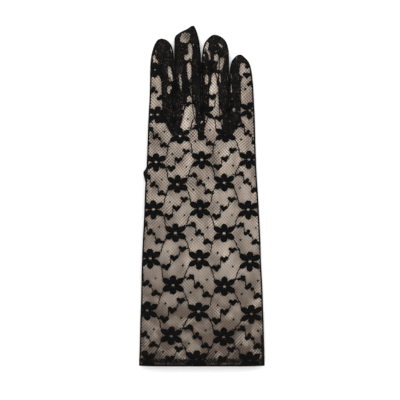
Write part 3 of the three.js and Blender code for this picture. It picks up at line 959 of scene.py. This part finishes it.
def face_seam(path, face, lift=0.1, inside=0.3):
    """A seam along a path in plan, on a face, as far as the path lies on the glove."""
    curve = smooth(path)
    curve = curve[sample(glove, *curve.T) > inside]
    return on_cloth(face, *curve.T, lift)


# Finishes


def add_node(tree, kind, inputs=None, **settings):
    """A node with its settings and the values of its inputs. A value that is a socket is linked."""
    node = tree.nodes.new(kind)
    for key, value in settings.items():
        setattr(node, key, value)
    for key, value in (inputs or {}).items():
        if isinstance(value, bpy.types.NodeSocket):
            tree.links.new(value, node.inputs[key])
        else:
            node.inputs[key].default_value = value
    return node


def noise(tree, vector, scale, detail=2.0, roughness=0.5):
    """Soft patches, whose scale is about their number in a metre."""
    inputs = {"Vector": vector, "Scale": scale, "Detail": detail, "Roughness": roughness}
    return add_node(tree, "ShaderNodeTexNoise", inputs).outputs["Fac"]


def bands(tree, vector, scale, distortion, detail, detail_scale, direction):
    """Straight waves across a direction, such as threads or stitches."""
    inputs = {"Vector": vector, "Scale": scale, "Distortion": distortion, "Detail": detail,
              "Detail Scale": detail_scale}
    node = add_node(tree, "ShaderNodeTexWave", inputs, wave_type="BANDS", bands_direction=direction)
    return node.outputs["Fac"]


def ranged(tree, value, low, high, to_low=0.0, to_high=1.0):
    """A value that goes from one number to another as the given one goes from low to high."""
    inputs = {"Value": value, "From Min": low, "From Max": high, "To Min": to_low, "To Max": to_high}
    return add_node(tree, "ShaderNodeMapRange", inputs).outputs["Result"]


def calculate(tree, operation, *values, clamp=False):
    node = add_node(tree, "ShaderNodeMath", dict(enumerate(values)), operation=operation, use_clamp=clamp)
    return node.outputs[0]


def blend_colours(tree, factor, first, second):
    mix = add_node(tree, "ShaderNodeMix", {"Factor": factor, "A": first, "B": second}, data_type="RGBA")
    return mix.outputs["Result"]


def new_group(name, inputs, output, inside):
    """A shader group, whose output is made by a function from its inputs."""
    tree = bpy.data.node_groups.new(name, "ShaderNodeTree")
    for label, kind in {"Vector": "Vector", **inputs}.items():
        tree.interface.new_socket(name=label, in_out="INPUT", socket_type=f"NodeSocket{kind}")
    label, kind = output
    tree.interface.new_socket(name=label, in_out="OUTPUT", socket_type=f"NodeSocket{kind}")
    result = inside(tree, add_node(tree, "NodeGroupInput").outputs)
    add_node(tree, "NodeGroupOutput", {label: result})
    return tree


def uneven_mottle(tree, given):
    """Soft, uneven tone between two colours: the random tone of most cloth, and on the lining, patches of
    painted shade.
    """
    patches = noise(tree, given["Vector"], given["Patches per metre"], 3.0, 0.55)
    return blend_colours(tree, ranged(tree, patches, 0.32, 0.68), given["Deep"], given["Pale"])


def crossed_threads(tree, given):
    """Height of two sets of crossed threads, as in a close knit."""
    sets = [bands(tree, given["Vector"], given[label], given["Unevenness"], 1.0, 0.6, direction)
            for label, direction in (("Wales", "X"), ("Courses", "Y"))]
    return calculate(tree, "MULTIPLY", *sets)


def open_meshes(tree, given):
    """Small round spots, each one an open mesh of the lace. The share is how many of them there are."""
    inputs = {"Vector": given["Vector"], "Scale": given["Meshes per metre"]}
    cells = add_node(tree, "ShaderNodeTexVoronoi", inputs).outputs
    draw = add_node(tree, "ShaderNodeSeparateColor", {"Color": cells["Color"]}).outputs["Red"]
    chosen = calculate(tree, "LESS_THAN", draw, given["Share"])
    return calculate(tree, "MULTIPLY", chosen, ranged(tree, cells["Distance"], 0.5, 0.28))


# This tone group gives most cloth its random tone; on the lining it paints patches of shade.
UNEVEN_MOTTLE = new_group("uneven dye", {"Patches per metre": "Float", "Deep": "Color", "Pale": "Color"},
                       ("Color", "Color"), uneven_mottle)
CROSSED_THREADS = new_group("crossed threads", {"Wales": "Float", "Courses": "Float", "Unevenness": "Float"},
                            ("Height", "Float"), crossed_threads)
OPEN_MESHES = new_group("open meshes", {"Meshes per metre": "Float", "Share": "Float"}, ("Mask", "Float"),
                        open_meshes)

# The wave texture's scale that gives one wave for each unit
WAVE_SCALE = 1 / 3.183
# The lining's nude in painted shade, then its pale nude.
NUDE_PAINTED_SHADE = (0.30, 0.24, 0.193)
NUDE_PALE = (0.75, 0.635, 0.53)
# A browner painted shade for the lining's sides and the part towards the hem.
BROWN_PAINTED_SHADE = (0.205, 0.150, 0.116)
# The lining in shade as it shows through the doubled lace's open meshes, a painted shade.
SHADED_LINING_THROUGH_LACE = (0.070, 0.054, 0.044)


def new_material(name, roughness, specular, sheen=0.0, sheen_roughness=0.5):
    """An empty cloth material, its tree, and its Object and UV coordinates."""
    material = bpy.data.materials.new(name)
    material.use_nodes = True
    tree = material.node_tree
    shader = tree.nodes["Principled BSDF"]
    shader.inputs["Roughness"].default_value = roughness
    shader.inputs["Specular IOR Level"].default_value = specular
    shader.inputs["Sheen Weight"].default_value = sheen
    shader.inputs["Sheen Roughness"].default_value = sheen_roughness
    place = add_node(tree, "ShaderNodeTexCoord").outputs
    return material, tree, place["Object"], place["UV"]


def place_group(tree, group, vector, inputs):
    """The output of a shader group that is placed in a material with its own values."""
    return add_node(tree, "ShaderNodeGroup", {"Vector": vector, **inputs}, node_tree=group).outputs[0]


def mottle(tree, vector, patches, deep, pale):
    """An uneven colour between two colours."""
    inputs = {"Patches per metre": patches, "Deep": (*deep, 1), "Pale": (*pale, 1)}
    return place_group(tree, UNEVEN_MOTTLE, vector, inputs)


def threads(tree, vector, wales, courses, unevenness):
    """The height of crossed threads whose spacings are in millimetres."""
    inputs = {"Wales": WAVE_SCALE / (wales * MM), "Courses": WAVE_SCALE / (courses * MM),
              "Unevenness": unevenness}
    return place_group(tree, CROSSED_THREADS, vector, inputs)


def with_surface(material, colour, height=None, distance=0.0, strength=0.0):
    """The material with its colour, and with a relief some millimetres high if it has one."""
    tree = material.node_tree
    shader = tree.nodes["Principled BSDF"]
    tree.links.new(colour, shader.inputs["Base Color"])
    if height is not None:
        inputs = {"Height": height, "Distance": distance * MM, "Strength": strength}
        tree.links.new(add_node(tree, "ShaderNodeBump", inputs).outputs["Normal"], shader.inputs["Normal"])
    return material


def net_yarn():
    """The fine black yarn of the net."""
    material, tree, place, _ = new_material("black net yarn", 0.65, 0.05)
    colour = mottle(tree, place, 900, (0.0075, 0.0068, 0.0061), (0.016, 0.0145, 0.013))
    return with_surface(material, colour, threads(tree, place, 0.21, 0.34, 2.0), 0.04, 0.5)


def petal_stitch():
    """Close satin stitches of the flowers, running along each petal."""
    material, tree, place, stitches = new_material("black satin stitch", 0.58, 0.022, 0.002)
    colour = mottle(tree, place, 420, (0.0016, 0.0015, 0.0015), (0.0036, 0.0035, 0.0034))
    rows = bands(tree, stitches, WAVE_SCALE / 0.42, 1.2, 2.0, 1.5, "X")
    return with_surface(material, colour, rows, 0.12, 0.8)


def doubled_lace(name, share):
    """Two layers of black lace on each other, with a share of meshes through which the lining shows, painted
    as spots of the lining's colour in shade.
    """
    material, tree, place, _ = new_material(name, 0.75, 0.02, 0.003)
    colour = mottle(tree, place, 260, (0.0018, 0.0018, 0.0018), (0.0062, 0.0061, 0.0060))
    thin = ranged(tree, noise(tree, place, 150.0), 0.42, 0.66, 0.4 * share, 4 * share)
    through = place_group(tree, OPEN_MESHES, place, {"Meshes per metre": 1150.0, "Share": thin})
    # Painted shade: the open meshes show the lining in its shade.
    colour = blend_colours(tree, through, colour, (*SHADED_LINING_THROUGH_LACE, 1))
    return with_surface(material, colour, threads(tree, place, 0.8, 0.9, 3.0), 0.18, 0.9)


def seam_yarn():
    """The yarn of the seams, their overlock stitches and the stems."""
    material, tree, place, _ = new_material("black seam yarn", 0.55, 0.03)
    colour = mottle(tree, place, 700, (0.0020, 0.0019, 0.0019), (0.0045, 0.0044, 0.0043))
    return with_surface(material, colour, threads(tree, place, 0.3, 0.3, 3.0), 0.08, 0.7)


def nude_tricot():
    """The lining: a fine, slightly shiny knit. Its colour holds painted shade: soft patches and slanting
    streaks of a darker nude, and a browner shade in soft patches at its sides and towards the hem.
    """
    material, tree, place, _ = new_material("nude tricot", 0.6, 0.15, 0.08, 0.4)
    drawn = add_node(tree, "ShaderNodeMapping", {
        "Vector": place, "Rotation": (0, 0, math.radians(-28)), "Scale": (1.0, 0.5, 1.0),
    }).outputs["Vector"]
    parts = add_node(tree, "ShaderNodeSeparateXYZ", {"Vector": place}).outputs
    # Painted shade: the lining turns browner towards the hem and towards its sides, in soft patches.
    painted_shade_to_hem = ranged(tree, parts["Y"], -0.05, -0.110, 0.0, 1.5)
    painted_shade_to_sides = ranged(tree, calculate(tree, "ABSOLUTE", parts["X"]), 0.022, 0.046, 0.0, 0.4)
    painted_shade_reach = calculate(tree, "ADD", painted_shade_to_hem, painted_shade_to_sides)
    painted_shade_patches = ranged(tree, noise(tree, place, 95.0), 0.36, 0.62, 0.10, 1.0)
    share = calculate(tree, "MULTIPLY", painted_shade_reach, painted_shade_patches, clamp=True)
    # Painted shade of the lining's creases and of its gaps beneath the net, as patches and slanting streaks
    # between a shaded and a pale nude.
    painted_shade_mottle = mottle(tree, drawn, 95, NUDE_PAINTED_SHADE, NUDE_PALE)
    colour = blend_colours(tree, share, painted_shade_mottle, (*BROWN_PAINTED_SHADE, 1))
    return with_surface(material, colour, threads(tree, place, 0.42, 0.55, 0.6), 0.06, 0.5)


yarn_finish = net_yarn()
petal_finish = petal_stitch()
doubled_finish = doubled_lace("doubled black lace", 0.10)
hem_finish = doubled_lace("folded black lace", 0.22)
seam_finish = seam_yarn()
lining_finish = nude_tricot()

# The net and its motifs
BOTH_FACES = ("back", "palm")
EVEN_GROUND = np.zeros(PLAN_X.shape)
back_ground = dense_ground((0, 0), DRAWN_SPOTS) - WINDOW_THINNED * (windows > 0)
# Painted shade: thicker dark yarn along the thumb's edge stands in for the shade beneath the hand.
thumb_shade_ground = THUMB_SHADE_YARN["share"] * fade(thumb, THUMB_SHADE_YARN["reach"])
net_regions = {
    "back_panel": [("back", np.minimum(back_panel, -eyes((0, 0))), back_ground)],
    "palm_panel": [("palm", np.minimum(palm_panel, -eyes(PALM_SHIFT)), dense_ground(PALM_SHIFT))],
    "thumb": [("thumb_back", np.minimum(thumb, -hole), thumb_shade_ground),
              ("thumb_palm", np.minimum(thumb, -eyes(THUMB_SHIFT)), dense_ground(THUMB_SHIFT))],
}
for node, regions in net_regions.items():
    piece = mesh_piece(f"net_{node}", net(regions), yarn_finish)
    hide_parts(node)

motif_grounds = {
    "back": (("back", glove, all_strips), (0, 0)),
    "palm": (("palm", np.minimum(glove, -hole), all_strips), PALM_SHIFT),
    "thumb": (("thumb_palm", thumb, EVEN_GROUND), THUMB_SHIFT),
}
for label, (ground, shift) in motif_grounds.items():
    parts, stems = chart(ground, shift)
    mesh_piece(f"flowers_{label}", join_arrays(parts), petal_finish)
    mesh_piece(f"stems_{label}", yarn(stems, beaded(stems), 4), seam_finish)

# The strips between the fingers, and the doubled lace of the fingers
doubled_depth = np.full(PLAN_X.shape, DOUBLED_LACE["depth"])


def open_rows(rows):
    """Picks the open meshes of a close lace by the rows of a table."""
    def pick(x, y):
        chance = rng.random(len(x))
        return np.logical_or.reduce([(y > low) & (y < high) & (chance < share)
                                     for low, high, share in rows])
    return pick


def close_lace(name, regions, material=doubled_finish, rows=STRIP_MESHES,
               cell=DOUBLED_LACE["cell"], gathers=DOUBLED_LACE["gathers"]):
    """Close lace over regions of faces, as one piece."""
    sheets = [close_cloth(region, face, doubled_depth, cell, DOUBLED_LACE["thick"], gathers,
                          open_rows(rows)) for face, region in regions]
    return joined_piece(name, sheets, material)


for strip, region in strips.items():
    shown = np.minimum(region, WINDOW_LAP - windows)
    piece = close_lace(f"strip_{strip}", [("back", shown), ("palm", region)])
    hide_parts(f"fourchette_{strip}")
close_lace("doubled_fingers", [(face, doubled) for face in BOTH_FACES])
thumb_tuck = np.minimum.reduce([
    thumb, THUMB_TUCK["width"] - thumb, PLAN_Y - THUMB_TUCK["low"], THUMB_TUCK["high"] - PLAN_Y,
    THUMB_TUCK["right"] - PLAN_X,
])
close_lace("doubled_thumb_edge", [("thumb_back", thumb_tuck), ("thumb_palm", thumb_tuck)])
side_turning = np.minimum.reduce([
    glove, SIDE_TURNING["width"] - hand_sides, SIDE_TURNING["high"] - PLAN_Y, PLAN_X,
])
close_lace("side_turning", [("back", side_turning)])
strip_net = net([(face, all_strips, EVEN_GROUND) for face in BOTH_FACES])
mesh_piece("net_strips", strip_net, yarn_finish)

# The lining, inside the lace and caught in the hem
between = np.min([np.abs(PLAN_X - x) for x in FINGER_GAPS["x"]], axis=0) - FINGER_GAPS["half"]
apart = np.where(above_crotch > -FINGER_GAPS["below"], between, np.inf)
lining_region = np.minimum.reduce([body - LINING["inset"], PLAN_Y - LINING["end_y"], apart])
back_creases = creased(body) + UNDER_STRIPS["depth"] * ease(all_strips / UNDER_STRIPS["reach"])
for face, deep in (("back", back_creases), ("palm", 0)):
    seam, height, *_, out = form[face]
    add_face(f"lining_{face}", seam, seam + LINING["share"] * (height - seam) - deep, out)


def lining_depth(region):
    """How deep the lining lies beneath the lace, less at its edge, where both are in the seam."""
    at_edge = LINING["edge_depth"]
    return at_edge + (LINING["depth"] - at_edge) * ease(region / LINING["edge_reach"])


linings = {
    "lining_back": [("lining_back", lining_region)],
    "lining_palm": [("lining_palm", np.minimum(lining_region, -hole))],
    "lining_thumb": [
        ("thumb_back", np.minimum(thumb - LINING["inset"], -hole)),
        ("thumb_palm", thumb - LINING["inset"]),
    ],
}
for node, regions in linings.items():
    sheets = [close_cloth(region, face, lining_depth(region), LINING["cell"], LINING["thick"])
              for face, region in regions]
    piece = joined_piece(f"tricot_{node}", sheets, lining_finish)
    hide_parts(node)

# The hem: the lace folded in over the lining's edge and caught with a row of zigzag stitches
piece = close_lace("folded_hem", [(face, hem) for face in BOTH_FACES], hem_finish, HEM_MESHES,
                   HEM_CELL, 0.0)
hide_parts("cuff_hem")
hem_net = net([(face, hem, EVEN_GROUND) for face in BOTH_FACES], HEM_PITCH)
mesh_piece("net_hem", hem_net, yarn_finish)

lip_x = np.linspace(-HEM_LIP["half_width"], HEM_LIP["half_width"], HEM_LIP["points"])
lip_y = np.full_like(lip_x, HEM_LIP["y"])
lips = [on_cloth(face, lip_x, lip_y, RELIEF, HEM_LIP["share"]) for face in BOTH_FACES]
mesh_piece("hem_fold", yarn(lips, HEM_LIP["radius"], 8), seam_finish)
zigzag_x = np.arange(-HEM_ZIGZAG["half_width"], HEM_ZIGZAG["half_width"] + 0.1, HEM_ZIGZAG["step"])
zigzag_y = np.where(np.arange(len(zigzag_x)) % 2, HEM_ZIGZAG["low"], HEM_ZIGZAG["high"])
zigzags = [on_cloth(face, zigzag_x, zigzag_y, 0.3) for face in BOTH_FACES]
mesh_piece("hem_zigzag", yarn(zigzags, HEM_ZIGZAG["radius"], 4), seam_finish)

# Seams: cords along the edges and round the strips, wrapped with overlock stitches
side_y = np.arange(*SIDE_SEAM_ENDS, OUTLINE_STEP)
sides = [np.column_stack([np.interp(side_y, hand_table[0], edge), side_y]) for edge in hand_table[1:3]]
ring = np.linspace(0, 2 * np.pi, 33)
hole_edge = np.column_stack([THUMB_HOLE["x"] + THUMB_HOLE["half_width"] * np.cos(ring),
                             THUMB_HOLE["y"] + THUMB_HOLE["half_length"] * np.sin(ring)])
thumb_edge = edge_seam(outline_of(THUMB_ROWS), thumb, SIDE_SEAM["inset"], 0, "thumb_back")
strip_edges = [face_seam(path, face)
               for pair in STRIP_SEAMS.values() for path in pair for face in BOTH_FACES]
seam_curves = {
    "side_seams": [edge_seam(side, glove, **SIDE_SEAM) for side in sides] + [thumb_edge],
    "finger_seams": [edge_seam(outline_of(rows), fingers, **FINGER_SEAM)
                     for rows in FINGER_ROWS.values()],
    "strip_seams": strip_edges + [face_seam(hole_edge, "palm")],
}
stitches = []
for name, (slot, radius, corners, clear, spacing, slant) in SEAM_CORDS.items():
    mesh_piece(name, yarn(seam_curves[name], radius, corners), seam_finish)
    stitches += overlock(seam_curves[name], radius + clear, spacing, slant)
mesh_piece("overlock_stitches", yarn(stitches, STITCH_YARN), seam_finish)

# The floor, just under the stitches
UNDER_STITCHES = 0.36
deselect()
bpy.ops.mesh.primitive_plane_add(size=6)
bpy.ops.transform.translate(value=(0, 0, -UNDER_STITCHES * MM))
bpy.ops.object.transform_apply(location=True, rotation=False, scale=False)
floor = bpy.context.object
floor.name = "studio_floor"
paper, paper_tree, paper_place, _ = new_material("white paper", 0.9, 0.1)
white = mottle(paper_tree, paper_place, 4, (0.86, 0.86, 0.86), (0.88, 0.88, 0.88))
floor.data.materials.append(with_surface(paper, white))

# Soft light from all round, and a panel beyond the fingertips that points at the glove
SKY_STRENGTH = 1.4
PANEL = {"place": (-0.06, 0.62, 0.95), "size": 0.8, "power": 6.0}
world = bpy.data.worlds.new("studio")
world.use_nodes = True
world.node_tree.nodes["Background"].inputs["Color"].default_value = (1, 1, 1, 1)
world.node_tree.nodes["Background"].inputs["Strength"].default_value = SKY_STRENGTH
bpy.context.scene.world = world
lamp = bpy.data.lights.new("window", "AREA")
lamp.shape = "DISK"
lamp.size = PANEL["size"]
lamp.energy = PANEL["power"]
panel = link_object("window", lamp)
panel.location = PANEL["place"]
panel.rotation_euler = (-Vector(PANEL["place"])).to_track_quat("-Z", "Y").to_euler()

# The camera, straight above: the photograph's scale, the plan's point in its middle, and the lens
PIXEL = 0.77
PIXELS = 400
PHOTO_MIDDLE = (-1.42, -3.47)
GLOVE_TOP = 10
LENS = 135
SENSOR = 36
camera_data = bpy.data.cameras.new("camera")
camera_data.lens = LENS
camera_data.sensor_width = SENSOR
camera = link_object("camera", camera_data)
distance = PIXELS * PIXEL * LENS / SENSOR
camera.location = np.array([*PHOTO_MIDDLE, GLOVE_TOP + distance]) * MM
bpy.context.scene.camera = camera
bpy.context.scene.view_settings.view_transform = "Standard"
